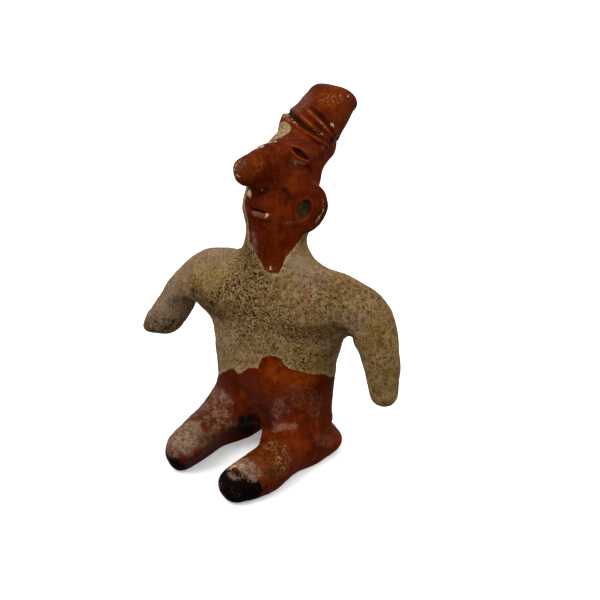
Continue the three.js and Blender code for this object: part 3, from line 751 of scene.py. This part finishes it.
# Each patch: places on the surface that it runs along, radius and strength
PATCHES = {
    # Slip rubbed down to the clay
    "worn": [
        ([[-42, -25, 38], [-28, -30, 41], [-20, -31, 41]], 8, 0.75),
        ([[-36, -36, 33], [-24, -40, 32], [-16, -48, 26], [-14, -66, 24]], 16, 0.5),
        ([[-16, -39, 22], [-12, -31, 23]], 7, 0.55),
        ([[-32, -44, 33], [-20, -46, 28]], 9, 0.45),
        ([[-28, -66, 29], [-17, -76, 28], [-23, -81, 26]], 16, 1.15),
        ([[-12, -70, 26], [-12, -80, 22]], 8, 0.65),
        ([[-42, -40, 32], [-40, -60, 27]], 12, 0.7),
        ([[30, -71, 26], [39, -72, 27], [48, -71, 23]], 7.5, 0.85),
        ([[30, -75, 25], [39, -76, 26], [49, -75, 22]], 6.5, 1.1),
        ([[37, -84, 22], [42, -84, 22]], 4.5, 0.6),
        ([[28, -90, 12], [40, -96, 12], [50, -90, 12]], 10, 0.28),
        ([[-30, -84, 20], [-20, -86, 20]], 9, 0.6),
        ([[39, -68, 28], [48, -62, 25]], 8, 0.3),
    ],
    # Thin pale deposit, and painted sheen along the front of the bib, on the jaw line and on the cap
    "veil_and_sheen": [
        ([[38, -20, 58], [44, -12, 54], [45, -4, 46]], 15, 0.36),
        ([[31, -31, 35], [34, -28, 36], [39, -23, 36]], 4, 1.0),
        ([[26, -31, 37], [29, -32, 34]], 4, 0.7),
        ([[26, -28, 44], [28, -27, 51]], 7, 0.65),
        ([[32, -24, 47]], 6, 0.45),
        ([[-24, -60, 30], [-18, -61, 28]], 6, 0.75),
        ([[-36, -36, 34]], 10, 0.5),
        ([[48, -7, 22], [47, 8, 14]], 7, 0.45),
        ([[1, -37, 219], [3, -33, 224]], 4.5, 0.5),
        ([[-7, 37, 256], [-9, 28, 249]], 13, 0.6),
        ([[17, 0, 219.5], [21, 5, 217.5]], 4.5, 0.5),
        ([[-1, -21, 170], [2, -22, 160]], 4, 0.7),
        ([[1, -21.5, 185.3], [8, -20.5, 185.0]], 3.4, 1.0),
        ([[29, 19, 188]], 4, 0.4),
        ([[19, -13, 180], [27, 1, 180]], 2.5, 0.35),
        ([[22, 28, 225]], 8, 0.3),
    ],
    # Brighter orange slip, and orange stains on the clay
    "orange": [
        ([[-28, -52, 30], [-23, -47, 29]], 5, 1.0),
        ([[-40, -22, 62], [-33, -26, 60]], 7, 0.8),
        ([[24, -28, 74], [42, -15, 72]], 13, 0.8),
        ([[15, -30, 62], [34, -25, 62]], 16, 0.2),
        ([[45, -34, 26], [50, -24, 24]], 9, 0.35),
        ([[20, -5, 204], [22, 4, 211]], 6, 0.35),
        ([[14, -17, 184], [18, -13, 176]], 11, 0.4),
        ([[5, -32, 216], [7, -26, 222]], 8, 0.35),
        ([[12, 46, 259], [18, 50, 250]], 14, 0.5),
        ([[2, 18, 239], [10, 18, 237]], 7, 0.5),
        ([[79, 11, 132], [90, 19, 120]], 4, 0.3),
        ([[16, 2, 223], [21, 8, 219]], 3, 0.8),
        ([[43.6, -14, 135]], 3.6, 1.0),
    ],
    # Purple-red slip and pinkish grey clay, with painted sheen along the front of the bib, on the brow
    # ridge and on the cap
    "purple_and_sheen": [
        ([[-32, -28, 58], [-22, -30, 50]], 14, 0.9),
        ([[2, -31, 58], [16, -31, 48], [28, -28, 44]], 15, 1.0),
        ([[-9, 34, 253], [-10, 26, 247]], 9, 0.9),
        ([[-1, -21, 174], [3, -22, 158]], 6, 0.7),
        ([[1, -22, 186], [8, -21, 185.5]], 3, 0.9),
        ([[-22, -45, 3], [-23, -22, 2]], 8, 0.5),
        ([[-44, -20, 34], [-38, -50, 26], [-24, -78, 18]], 40, 1.0),
        ([[-12, -36, 26], [-10, -70, 14]], 16, 0.8),
        ([[-100, -34, 84], [-77, -34, 110]], 22, 0.85),
        ([[-40, -16, 143], [-66, -20, 134]], 20, 0.5),
        ([[28, -4, 150], [40, -6, 142]], 15, 0.7),
        ([[47, -2, 143]], 3.5, 0.9),
        ([[72, 0, 118]], 13, 0.4),
        ([[9, 7, 233.5], [13, 12, 233], [17, 14, 231], [21, 14, 227]], 2.2, 0.9),
        ([[-34, -50, 31], [-17, -76, 26]], 16, 0.4),
        ([[-20, -28, 92], [-30, -28, 78]], 14, 0.4),
    ],
    # Olive-yellow clay
    "olive": [
        ([[24, 4, 160], [30, 2, 150]], 9, 0.9),
        ([[46, -11, 81], [40, -18, 92]], 16, 0.7),
        ([[88, 6, 116], [87, 3, 100]], 12, 0.8),
        ([[94, 4, 90], [94, 4, 72]], 14, 0.4),
        ([[92, 19, 118], [98, 15, 80]], 16, 0.5),
        ([[-30, -35, 124], [-50, -34, 126]], 14, 0.6),
        ([[-41, -30, 139], [-23, -28, 139]], 14, 0.5),
        ([[0, -24, 148], [10, -26, 120]], 30, 0.3),
        ([[-20, 10, 238]], 12, 0.5),
    ],
    # Brown mottling, and painted shade under the breasts
    "umber_and_shade": [
        ([[49, -3, 141], [59, 1, 139], [72, 9, 137], [82, 14, 130]], 18, 0.8),
        ([[36, -20, 106], [51, -12, 108], [63, -5, 112]], 11, 1.0),
        ([[58, -8, 124], [50, -14, 120]], 10, 0.4),
        ([[-46, -35, 118], [-37, -36, 115], [-24, -35, 110]], 12, 1.15),
        ([[-24, -35, 110], [-8, -32, 112]], 14, 0.7),
        ([[-63, -27, 108], [-74, -34, 104]], 8, 0.9),
        ([[-108, -34, 80], [-92, -36, 77], [-80, -32, 84]], 6, 0.7),
        ([[72, -1, 118], [70, -2, 108]], 7, 0.6),
        ([[92, 6, 104], [92, 6, 112]], 5, 0.8),
        ([[94, 5, 64], [98, 12, 74]], 12, 0.4),
        ([[48, -2, 82], [48, 2, 100]], 9, 0.5),
        ([[24, 3, 166], [27, 9, 174]], 6, 0.8),
        ([[-2, -22, 152], [-8, -22, 156]], 8, 0.7),
        ([[0, -31, 92], [30, -26, 92]], 10, 0.3),
        ([[39, -70, 27], [38, -50, 30], [50, -52, 24], [48, -66, 22]], 17, 1.0),
        ([[-14, -52, 22], [-15, -76, 20]], 10, 0.7),
        ([[0, -26, 142], [12, -28, 125]], 24, 0.4),
        ([[30, -20, 136], [55, -6, 130]], 24, 0.6),
        ([[86, 8, 122], [92, 7, 84]], 22, 0.55),
        ([[60, -4, 116], [76, 0, 100]], 16, 0.6),
        ([[3, -35, 219], [8, -30, 217]], 7, 0.6),
        ([[-14, -60, 20], [-14, -76, 20]], 9, 0.6),
        ([[-24, -34, 34], [-14, -33, 26]], 10, 0.4),
        ([[18, 60, 250], [20, 44, 236]], 8, 0.4),
    ],
    # Thickly scattered dark specks
    "speckled": [
        ([[-4, -23, 152], [0, -27, 138], [4, -31, 118]], 28, 1.0),
        ([[-13, -31, 125], [-24, -35, 117]], 20, 0.95),
        ([[-14, -33, 108], [0, -31, 100]], 18, 0.7),
        ([[14, -28, 116], [30, -24, 108]], 20, 0.85),
        ([[45, -13, 94], [36, -20, 86]], 18, 0.7),
        ([[18, -30, 92], [30, -24, 88]], 12, 0.7),
        ([[48, -14, 132], [57, -9, 128]], 14, 0.4),
        ([[-36, -36, 118], [-46, -36, 122]], 15, 0.9),
        ([[-84, -31, 118], [-100, -35, 96]], 8, 0.9),
        ([[-80, -35, 86], [-98, -38, 82]], 12, 0.9),
        ([[-90, -37, 88]], 18, 0.45),
        ([[24, 3, 168]], 8, 0.6),
    ],
    # Crisp chips through to pale clay
    "chip": [
        ([[0, -12.5, 230], [-2, -16, 229]], 2.6, 1.0),
        ([[1, -1, 232.5], [-2, -7, 231.5]], 2.2, 0.9),
        ([[6, -19, 202]], 1.5, 1.0),
        ([[-6, -19, 198]], 4.5, 1.0),
        ([[10, -19.6, 184.5], [11, -19, 186]], 2.0, 0.9),
        ([[20, 37.5, 241], [20.5, 39, 239.5]], 2.4, 1.0),
        ([[20, 44, 231], [21, 39, 229]], 3.0, 0.6),
        ([[8, 41, 258], [5, 43, 259.5]], 4.0, 0.32),
        ([[17, 53, 257], [18, 59, 255.5]], 5.0, 0.28),
        ([[2, -35, 224], [-1, -38, 217], [1, -38, 212]], 5.0, 0.3),
        ([[-8, 16, 237], [-3, 8, 234]], 8.0, 0.5),
        ([[16, 24, 238], [19, 27, 236]], 3.0, 0.38),
        ([[1, 20, 242], [-3, 22, 243]], 2.6, 0.5),
        ([[22, 27, 224], [22.5, 33, 225], [23, 24, 221]], 5.0, 0.24),
        ([[28, 12, 178], [29, 19, 184], [29, 19, 192]], 2.4, 0.6),
        ([[14, -20, 149]], 2.0, 1.0),
        ([[29.3, 1, 181.6], [29.8, 5.2, 183.6], [29.9, 7.0, 187]], 2.0, 0.66),
        ([[38, -76, 26], [33, -81, 24]], 5.0, 0.45),
        ([[-9, 26, 247], [-14, 26, 245]], 3.0, 0.5),
    ],
    # Fine pale scratches
    "scratched": [
        ([[41, -45, 29], [47, -44, 25], [52, -49, 20]], 11, 1.0),
        ([[-24, -34, 34], [-20, -50, 28]], 14, 0.6),
        ([[10, 44, 257]], 12, 0.5),
        ([[8, -24, 222]], 9, 0.5),
    ],
    # Dark deposits, and painted shade in the crotch, under the nose, along creases, at the top of the left
    # ear hole and where the right leg meets the floor
    "grime_and_shade": [
        ([[17, -8, 202], [19, -7, 199]], 4.0, 0.55),
        ([[21, -7, 197]], 3.5, 0.5),
        ([[18, 0, 215.5], [22, 4, 215]], 3.0, 0.35),
        ([[28.5, 3, 193.5]], 3.5, 1.0),
        ([[22, 24, 222], [22, 32, 226]], 6.0, 0.4),
        ([[4, -20, 200], [9, -17, 203]], 3.5, 0.5),
        ([[20, 44, 230], [21, 36, 230]], 3.5, 0.7),
        ([[8, -29, 34], [3, -24, 33], [0, -12, 30]], 9, 1.0),
        ([[2, -30, 40], [12, -31, 40], [18, -31, 36]], 13, 0.5),
        ([[-6, -26, 27], [-12, -22, 16], [-22, -8, 9]], 9, 0.9),
        ([[-44, -38, 2], [-20, -60, 2]], 5, 0.4),
        ([[85.5, 2, 84], [86, 3, 76], [88.5, 3, 70]], 1.5, 0.4),
        ([[88.8, 3, 71], [89, 3, 70]], 1.6, 0.6),
        ([[-58.5, -34, 122], [-55, -33, 114], [-51, -29, 108]], 2.5, 0.3),
    ],
}
SPECKLED_ALL_OVER = 0.12

# Bare clay shows at the bottom of the ear holes
bottom = -on_head(points, ears_relief)
store("slip", np.clip(np.minimum(slip_edge(points), 3.0 - 1.8 * bottom), -20, 20))
for patch_name, patch_table in PATCHES.items():
    store(patch_name, patches(points, patch_table))

# Black fire clouds on the toes, as the distance inside their edge
left_cloud = -ellipsoid([42, -90, 9], [23, 23.5, 21])(points)
right_cloud = -ellipsoid([-24, -92, 4], [17, 15, 16])(points)
store("soot", np.clip(np.maximum(left_cloud, right_cloud), -12, 12))

# Depth of the carving under the smooth skin, and height of its ridges, which the material turns into
# painted shade in the hollows and painted highlight on the ridges
carved = carving(points)
store("sunk", np.clip(-carved, 0, 3))
ridges = on_head(points, cap_relief, eyes_relief, ears_relief)
store("proud", np.clip(ridges, 0, 1))


# ---------------------------------------------------------------- materials
def srgb(r, g, b):
    """Linear colour from 8-bit display values."""
    def linear(v):
        v /= 255
        return v / 12.92 if v <= 0.04045 else ((v + 0.055) / 1.055) ** 2.4
    return (linear(r), linear(g), linear(b), 1.0)


class Wire:
    """A shader socket that can be added to, scaled and compared."""

    def __init__(self, tree, socket):
        self.tree = tree
        self.socket = socket

    def node(self, kind, settings=None, out=0, **sockets):
        node = self.tree.nodes.new("ShaderNode" + kind)
        for key, value in (settings or {}).items():
            setattr(node, key, value)
        for key, value in sockets.items():
            name = key.replace("_", " ")
            socket = node.inputs[int(key[1:])] if key[0] == "i" and key[1:].isdigit() else node.inputs[name]
            if isinstance(value, Wire):
                self.tree.links.new(value.socket, socket)
            else:
                socket.default_value = value
        return Wire(self.tree, node.outputs[out])

    def math(self, operation, *values, clamp=False):
        sockets = {f"i{i}": v for i, v in enumerate(values)}
        return self.node("Math", {"operation": operation, "use_clamp": clamp}, **sockets)

    def __add__(self, other):
        return self.math("ADD", self, other)

    __radd__ = __add__

    def __sub__(self, other):
        return self.math("SUBTRACT", self, other)

    def __rsub__(self, other):
        return self.math("SUBTRACT", other, self)

    def __mul__(self, other):
        return self.math("MULTIPLY", self, other)

    __rmul__ = __mul__

    def __truediv__(self, other):
        return self.math("DIVIDE", self, other)

    def clamp(self):
        return self.math("ADD", self, 0.0, clamp=True)

    def least(self, other):
        return self.math("MINIMUM", self, other)

    def most(self, other):
        return self.math("MAXIMUM", self, other)

    def power(self, other):
        return self.math("POWER", self, other)

    def step(self, lo, hi, start=0.0, end=1.0):
        return self.node(
            "MapRange", {"interpolation_type": "SMOOTHSTEP"},
            i0=self, i1=lo, i2=hi, i3=start, i4=end,
        )


class Surface:
    """One procedural material over the figure, with coordinates in millimetres."""

    def __init__(self, name):
        self.material = bpy.data.materials.new(name)
        self.material.use_nodes = True
        self.tree = self.material.node_tree
        self.tree.nodes.clear()
        self.root = Wire(self.tree, None)
        place = self.root.node("TexCoord", out=3)
        self.place = self.root.node(
            "VectorMath", {"operation": "SCALE"}, i0=place, Scale=1000.0)

    def attribute(self, name):
        node = self.tree.nodes.new("ShaderNodeAttribute")
        node.attribute_name = name
        return Wire(self.tree, node.outputs["Fac"])

    def stretched(self, x=1.0, y=1.0, z=1.0, shift=0.0):
        """Coordinates scaled along each axis and moved, for a pattern of its own."""
        scaled = self.root.node(
            "VectorMath", {"operation": "MULTIPLY"}, i0=self.place, i1=(x, y, z))
        return self.root.node(
            "VectorMath", {"operation": "ADD"}, i0=scaled, i1=(shift, 1.7 * shift, -shift))

    def noise(self, size, detail=2.0, rough=0.5, shift=0.0, stretch=(1, 1, 1)):
        """Noise from 0 to 1 with features of about the given size."""
        at = self.stretched(*stretch, shift=shift)
        return self.root.node(
            "TexNoise", {"noise_dimensions": "3D"}, Vector=at, Scale=1.0 / size,
            Detail=detail, Roughness=rough)

    def mix(self, share, a, b):
        return self.root.node(
            "Mix", {"data_type": "RGBA", "blend_type": "MIX"}, out=2, i0=share, i6=a, i7=b)

    def tint(self, share, a, b):
        return self.root.node(
            "Mix", {"data_type": "RGBA", "blend_type": "MULTIPLY"}, out=2, i0=share, i6=a, i7=b)


CLAY = srgb(116, 92, 57)
CLAY_LIGHT = srgb(134, 110, 76)
CLAY_BROWN = srgb(86, 61, 28)
CLAY_UMBER = srgb(66, 42, 13)
CLAY_RUST = srgb(74, 44, 8)
CLAY_OLIVE = srgb(108, 86, 33)
CLAY_GREY = srgb(112, 95, 83)
CLAY_PALE = srgb(158, 135, 102)
SPECK = srgb(22, 9, 0)
STAIN = srgb(124, 58, 18)
SLIP = srgb(76, 18, 0)
SLIP_ORANGE = srgb(96, 33, 2)
SLIP_BRIGHT = srgb(116, 47, 5)
SLIP_DARK = srgb(50, 8, 0)
SLIP_BROWN = srgb(72, 38, 8)
SLIP_UMBER = srgb(38, 15, 2)
# Purple-red slip colour, also used as painted sheen
SLIP_PURPLE_AND_SHEEN = srgb(68, 23, 15)
SLIP_PALE = srgb(116, 66, 34)
WORN = srgb(128, 105, 86)
WORN_BROWN = srgb(72, 49, 34)
# Pale dust colour, also used as painted sheen
VEIL_AND_SHEEN = srgb(124, 92, 76)
CHIP = srgb(186, 160, 126)
SCRATCH = srgb(156, 118, 82)
# Near-black for grime and for painted shade
GRIME_AND_SHADE = srgb(14, 6, 2)
SOOT = srgb(3, 3, 3)


def clay_material():
    s = Surface("fired_clay")
    slip, soot, worn, veil_and_sheen = (s.attribute(n) for n in ("slip", "soot", "worn", "veil_and_sheen"))
    orange, purple_and_sheen, olive = (s.attribute(n) for n in ("orange", "purple_and_sheen", "olive"))
    umber_and_shade, speckled, chip = (s.attribute(n) for n in ("umber_and_shade", "speckled", "chip"))
    scratched, grime_and_shade = (s.attribute(n) for n in ("scratched", "grime_and_shade"))
    sunk, proud = (s.attribute(n) for n in ("sunk", "proud"))

    broad = s.noise(32, 3, 0.55, shift=11) - 0.5
    middle = s.noise(9, 3, 0.6, shift=17) - 0.5
    blotch = s.noise(5, 4, 0.65, shift=43) - 0.5
    fuzz = s.noise(4, 5, 0.72, shift=61) - 0.5
    small = s.noise(3.2, 3, 0.6, shift=23) - 0.5
    grain = s.noise(1.3, 2, 0.7, shift=29) - 0.5
    grit = s.noise(1.3, 3, 0.7, shift=37) - 0.5
    pits = s.noise(2.2, 4, 0.7, shift=41) - 0.5
    brush = s.noise(2.6, 2, 0.6, shift=47, stretch=(1, 1, 0.12)) - 0.5
    thread = s.noise(4.5, 2, 0.55, shift=53) - 0.5
    ragged = fuzz + small * 0.6 + grain * 0.7
    fine = fuzz * 0.5 + small * 0.7 + grain * 1.3

    def spread(amount, noise, lo, hi):
        """A patch broken up by noise, and nothing where there is no patch."""
        return (amount + noise).step(lo, hi) * amount.step(0.02, 0.3)

    inside = (slip + small * 2.4 + grain * 1.6).step(-0.3, 0.3)

    clay = s.mix(middle.step(-0.14, 0.14), CLAY_LIGHT, CLAY)
    clay = s.mix(small.step(-0.05, 0.14) * 0.65, clay, CLAY_BROWN)
    clay = s.mix(brush.step(0.0, 0.18) * 0.4, clay, CLAY_BROWN)
    clay = s.mix(fuzz.step(0.02, 0.2) * 0.5, clay, CLAY_UMBER)
    clay = s.mix(olive * blotch.step(-0.2, 0.1), clay, CLAY_OLIVE)
    clay = s.mix(purple_and_sheen * 0.8, clay, CLAY_GREY)
    # Brown mottling, which under the breasts is painted shade
    clay = s.mix(spread(umber_and_shade, fine * 2.6, 0.1, 1.2) * 0.85, clay, CLAY_UMBER)
    clay = s.mix(spread(orange, ragged * 2.0, 0.3, 0.7) * 0.7, clay, STAIN)
    crowd = (speckled + SPECKLED_ALL_OVER) * blotch.step(-0.3, 0.2, 0.4, 1.4)
    clay = s.mix(crowd * fuzz.step(-0.02, 0.14) * 0.4, clay, CLAY_UMBER)
    clay = s.mix((grain + crowd * 0.05).step(0.05, 0.18) * 0.6, clay, CLAY_PALE)
    clay = s.mix((slip + fuzz * 5.0).step(-3.5, -0.8) * 0.35, clay, CLAY_PALE)
    clay = s.mix((grit + crowd * 0.07).step(0.05, 0.15) * 0.6, clay, CLAY_RUST)
    speck = (grit + crowd * 0.055).step(0.12, 0.15).most((pits + crowd * 0.07).step(0.15, 0.18))
    clay = s.mix(speck * 0.9, clay, SPECK)

    red = s.mix(middle.step(-0.14, 0.16), SLIP, SLIP_ORANGE)
    red = s.mix(broad.step(0.06, -0.1) * 0.5, red, SLIP_DARK)
    red = s.mix(ragged.step(0.0, 0.22) * 0.55, red, SLIP_DARK)
    red = s.mix(brush.step(0.0, 0.16) * 0.3, red, SLIP_DARK)
    red = s.mix(brush.step(-0.06, -0.2) * 0.2, red, SLIP_BRIGHT)
    red = s.mix(orange * blotch.step(-0.2, 0.1), red, SLIP_BRIGHT)
    # Purple-red slip, which on the bib, brow ridge and cap is painted sheen
    red = s.mix(purple_and_sheen * blotch.step(-0.2, 0.1, 0.4, 1.0), red, SLIP_PURPLE_AND_SHEEN)
    red = s.mix(spread(umber_and_shade, ragged * 1.6, 0.1, 1.0) * 0.6, red, SLIP_BROWN)
    red = s.mix(umber_and_shade * fine.step(-0.02, -0.16) * 0.6, red, SLIP_BRIGHT)
    red = s.mix(umber_and_shade * fine.step(0.0, 0.11) * 0.9, red, SLIP_UMBER)
    # Raised rims and cap ridges painted lighter as painted highlight; the highest also get ragged pale wear
    red = s.mix(proud.step(0.15, 0.8) * 0.6, red, SLIP_BRIGHT)
    red = s.mix(proud.step(0.35, 0.9) * ragged.step(-0.05, 0.15) * 0.5, red, SCRATCH)
    red = s.mix(grain.step(0.08, 0.24) * 0.4, red, SLIP_PALE)
    red = s.mix(grit.step(0.04, 0.18) * 0.5, red, SLIP_DARK)

    colour = s.mix(inside, clay, red)
    black = (soot + ragged * 16.0).step(-1.5, 2.5)
    colour = s.mix(black * 0.97, colour, SOOT)

    rubbed = spread(worn, ragged * 2.8, 0.2, 1.1) * (inside.most(black))
    bare = s.mix((small + grain * 0.8).step(-0.12, 0.16) * 0.85, WORN, WORN_BROWN)
    bare = s.mix((grit + 0.02).step(0.08, 0.2) * 0.6, bare, SLIP_DARK)
    colour = s.mix(rubbed * 0.9, colour, bare)

    line = s.root.math("ABSOLUTE", thread).step(0.02, 0.006)
    colour = s.mix(line * spread(scratched, ragged * 2.0, 0.2, 0.8) * 0.8, colour, SCRATCH)
    chipped = spread(chip, ragged * 2.4, 0.5, 0.75)
    colour = s.mix(chipped * 0.85, colour, CHIP)
    # Pale dust, and painted sheen where the patches lie on the bib, jaw line and cap
    dust_and_sheen = spread(veil_and_sheen, fine * 1.8, 0.1, 1.6)
    colour = s.mix(dust_and_sheen * 0.7, colour, VEIL_AND_SHEEN)
    # Grime patches and the painted shade of the patch table, and painted shade in the carved hollows,
    # darker the deeper they sink
    dirt_and_shade = spread(grime_and_shade, ragged * 0.5, 0.05, 0.8).most((sunk - 0.35).step(0.0, 1.6) * 0.85)
    colour = s.mix(dirt_and_shade * 0.92, colour, GRIME_AND_SHADE)

    height = (
        grain * 0.00010 + small * 0.00012 + brush * 0.00008
        - speck * (1.0 - inside) * 0.0002 - chipped * 0.0002
        + inside * (1.0 - rubbed) * 0.00008
    )
    bump = s.root.node("Bump", Strength=1.0, Distance=1.0, Height=height)
    gloss = inside * (1.0 - rubbed) * (1.0 - dust_and_sheen)
    roughness = s.root.node(
        "Mix", {"data_type": "FLOAT"}, i0=gloss, i2=0.68, i3=middle.step(-0.2, 0.2, 0.4, 0.52))

    shader = s.tree.nodes.new("ShaderNodeBsdfPrincipled")
    shader.inputs["Metallic"].default_value = 0.0
    shader.inputs["IOR"].default_value = 1.45
    shader.inputs["Specular IOR Level"].default_value = 0.02
    s.tree.links.new(colour.socket, shader.inputs["Base Color"])
    s.tree.links.new(roughness.socket, shader.inputs["Roughness"])
    s.tree.links.new(bump.socket, shader.inputs["Normal"])
    output = s.tree.nodes.new("ShaderNodeOutputMaterial")
    s.tree.links.new(shader.outputs[0], output.inputs[0])
    return s.material


figure.data.materials.append(clay_material())
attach(figure, "root")
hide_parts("figure")


# ---------------------------------------------------------------- floor, light and camera
FLOOR_GLOW = 0.3


def plain_material(name, colour, roughness, glow):
    material = bpy.data.materials.new(name)
    material.use_nodes = True
    shader = material.node_tree.nodes["Principled BSDF"]
    shader.inputs["Base Color"].default_value = colour
    shader.inputs["Roughness"].default_value = roughness
    shader.inputs["Emission Color"].default_value = colour
    shader.inputs["Emission Strength"].default_value = glow
    return material


floor_mesh = bpy.data.meshes.new("floor")
bm = bmesh.new()
bmesh.ops.create_grid(bm, x_segments=1, y_segments=1, size=40)
bm.to_mesh(floor_mesh)
bm.free()
floor = bpy.data.objects.new("floor", floor_mesh)
bpy.context.scene.collection.objects.link(floor)
floor.data.materials.append(plain_material("floor_white", (0.9, 0.9, 0.9, 1), 0.8, FLOOR_GLOW))
floor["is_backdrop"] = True
# The pale floor isn't meant to throw light up at the figure
floor.visible_diffuse = False
floor.visible_glossy = False


def dome(low, high, start, end):
    """Soft light from a dome that is brightest overhead."""
    world = bpy.data.worlds.new("studio")
    bpy.context.scene.world = world
    world.use_nodes = True
    way = world.node_tree.nodes.new("ShaderNodeTexCoord")
    parts = world.node_tree.nodes.new("ShaderNodeSeparateXYZ")
    ramp = world.node_tree.nodes.new("ShaderNodeMapRange")
    ramp.interpolation_type = "SMOOTHSTEP"
    for index, value in enumerate((start, end, low, high), 1):
        ramp.inputs[index].default_value = value
    backdrop = world.node_tree.nodes["Background"]
    backdrop.inputs["Color"].default_value = (1, 1, 1, 1)
    link = world.node_tree.links.new
    link(way.outputs["Generated"], parts.inputs[0])
    link(parts.outputs["Z"], ramp.inputs[0])
    link(ramp.outputs[0], backdrop.inputs["Strength"])


dome(0.25, 1.4, -0.6, 0.9)


def soft_sun(name, azimuth_deg, elevation_deg, spread_deg, strength):
    """Broad even light from far away."""
    light = bpy.data.lights.new(name, "SUN")
    light.angle = rad(spread_deg)
    light.energy = strength
    obj = bpy.data.objects.new(name, light)
    bpy.context.scene.collection.objects.link(obj)
    a, e = rad(azimuth_deg), rad(elevation_deg)
    way = Vector((math.sin(a) * math.cos(e), -math.cos(a) * math.cos(e), math.sin(e)))
    obj.rotation_euler = (-way).to_track_quat("-Z", "Y").to_euler()


soft_sun("key", VIEW_AZIMUTH - 50, 50, 30, 1.5)
soft_sun("fill", VIEW_AZIMUTH + 65, 25, 60, 0.5)

camera_data = bpy.data.cameras.new("camera")
camera_data.lens = LENS
camera_data.sensor_width = SENSOR
camera = bpy.data.objects.new("camera", camera_data)
bpy.context.scene.collection.objects.link(camera)
a, e = rad(VIEW_AZIMUTH), rad(VIEW_ELEVATION)
way = Vector((math.sin(a) * math.cos(e), -math.cos(a) * math.cos(e), math.sin(e)))
target = Vector((np.array(VIEW_TARGET) - MIDDLE) / 1000)
camera.location = target + way * VIEW_DISTANCE / 1000
camera.rotation_euler = (-way).to_track_quat("-Z", "Y").to_euler()
bpy.context.scene.camera = camera
bpy.context.scene.view_settings.view_transform = "Standard"

boxes = [[list(corner) for corner in box] for box in (cad_box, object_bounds())]
